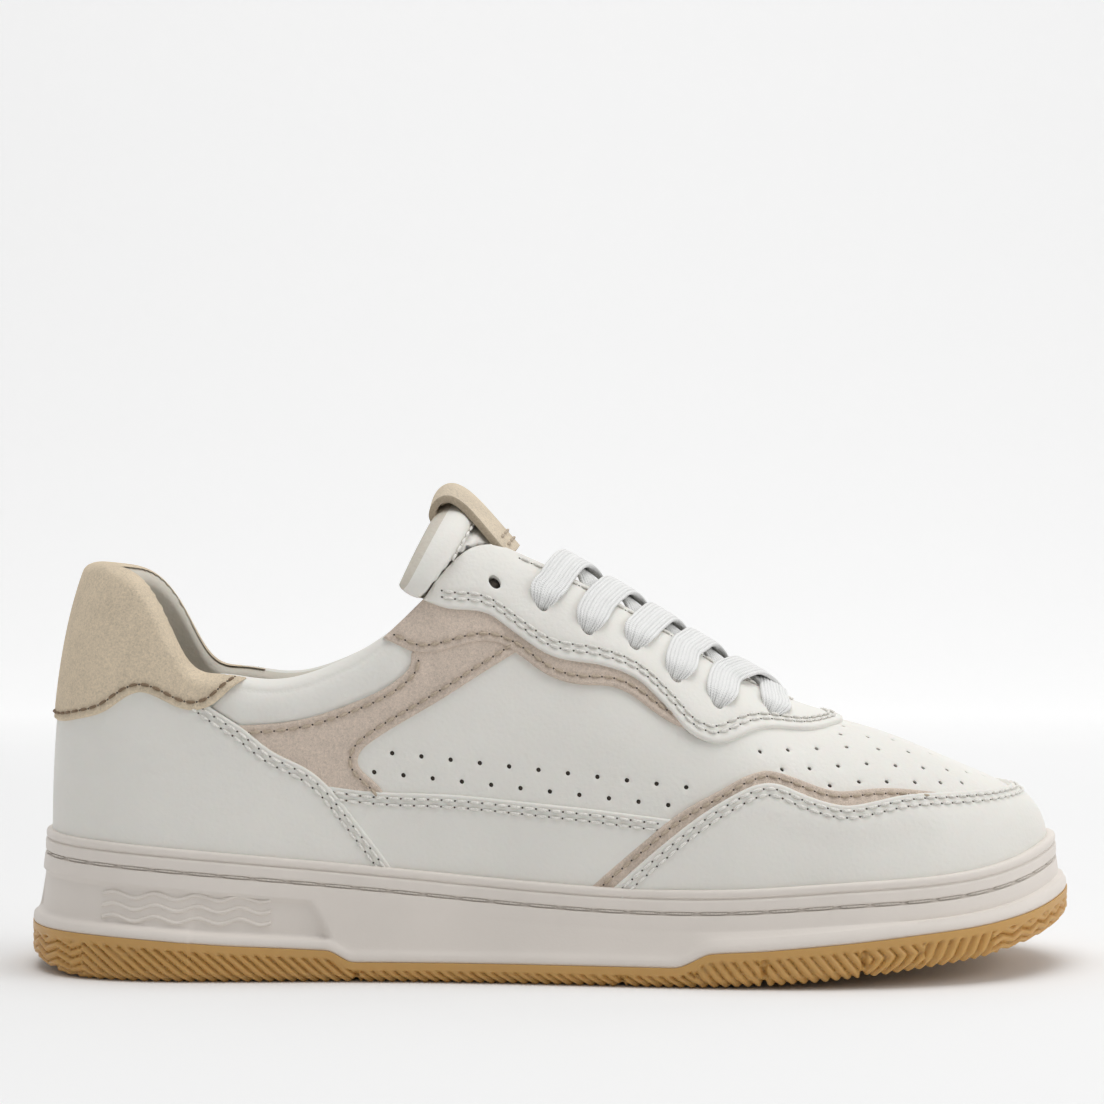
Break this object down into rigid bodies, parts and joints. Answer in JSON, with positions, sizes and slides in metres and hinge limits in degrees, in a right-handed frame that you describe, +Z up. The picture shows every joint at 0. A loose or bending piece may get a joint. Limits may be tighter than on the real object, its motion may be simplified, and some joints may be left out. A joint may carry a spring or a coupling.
{
  "type": "court shoe",
  "caption": "Low-cut right court shoe with layered leather and suede panels, padded collar, folding padded tongue, flat lace and stitched rubber cup sole.",
  "frame": {"origin": "centre of the bounding box at the bottom of the outsole, where the shoe stands", "axes": "+X from heel to toe, +Y to the medial (inner) side, +Z up; a right shoe"},
  "size_m": [0.3, 0.1086, 0.1388],
  "materials": {
    "white_leather": "matte, fine grain",
    "beige_suede": "napped suede",
    "tan_suede": "napped suede",
    "lining_textile": "soft textile",
    "foam": "soft cell foam",
    "fibre_board": "pressed fibre",
    "white_rubber": "matte moulded",
    "gum_rubber": "satin moulded",
    "thread": "twisted thread",
    "lace_cotton": "flat woven"
  },
  "bodies": {
    "shoe": {"vamp": "white_leather", "quarter_lateral": "white_leather", "quarter_medial": "white_leather", "collar_panel_lateral": "white_leather", "collar_panel_medial": "white_leather", "foxing_panel_lateral": "white_leather", "foxing_panel_medial": "white_leather", "saddle_lateral": "beige_suede", "saddle_medial": "beige_suede", "eyestay_trim_lateral": "beige_suede", "eyestay_trim_medial": "beige_suede", "toe_trim_lateral": "beige_suede", "toe_trim_medial": "beige_suede", "heel_panel": "white_leather", "eyestay": "white_leather", "mudguard": "white_leather", "heel_tab": "tan_suede", "vamp_lining": "lining_textile", "quarter_lining": "lining_textile", "collar_foam": "foam", "heel_counter": "fibre_board", "toe_puff": "fibre_board", "outsole": "gum_rubber", "cup_sole": "white_rubber", "midsole_foam": "foam", "insole_board": "fibre_board", "footbed": "lining_textile", "sole_stitching": "thread", "tongue_face_lower": "white_leather", "tongue_foam_lower": "foam", "tongue_lining_lower": "lining_textile", "lace": "lace_cotton"},
    "tongue_top": {"tongue_face_upper": "white_leather", "tongue_foam_upper": "foam", "tongue_lining_upper": "lining_textile", "tongue_tab": "tan_suede"}
  },
  "joints": [
    {"name": "tongue_fold", "type": "hinge", "parent": "shoe", "child": "tongue_top", "pos_m": [-0.00892, -0.0024, 0.11431], "axis": [0, 1, 0], "range_deg": [-12, 18], "stiffness_Nm_per_rad": 0.3}
  ]
}
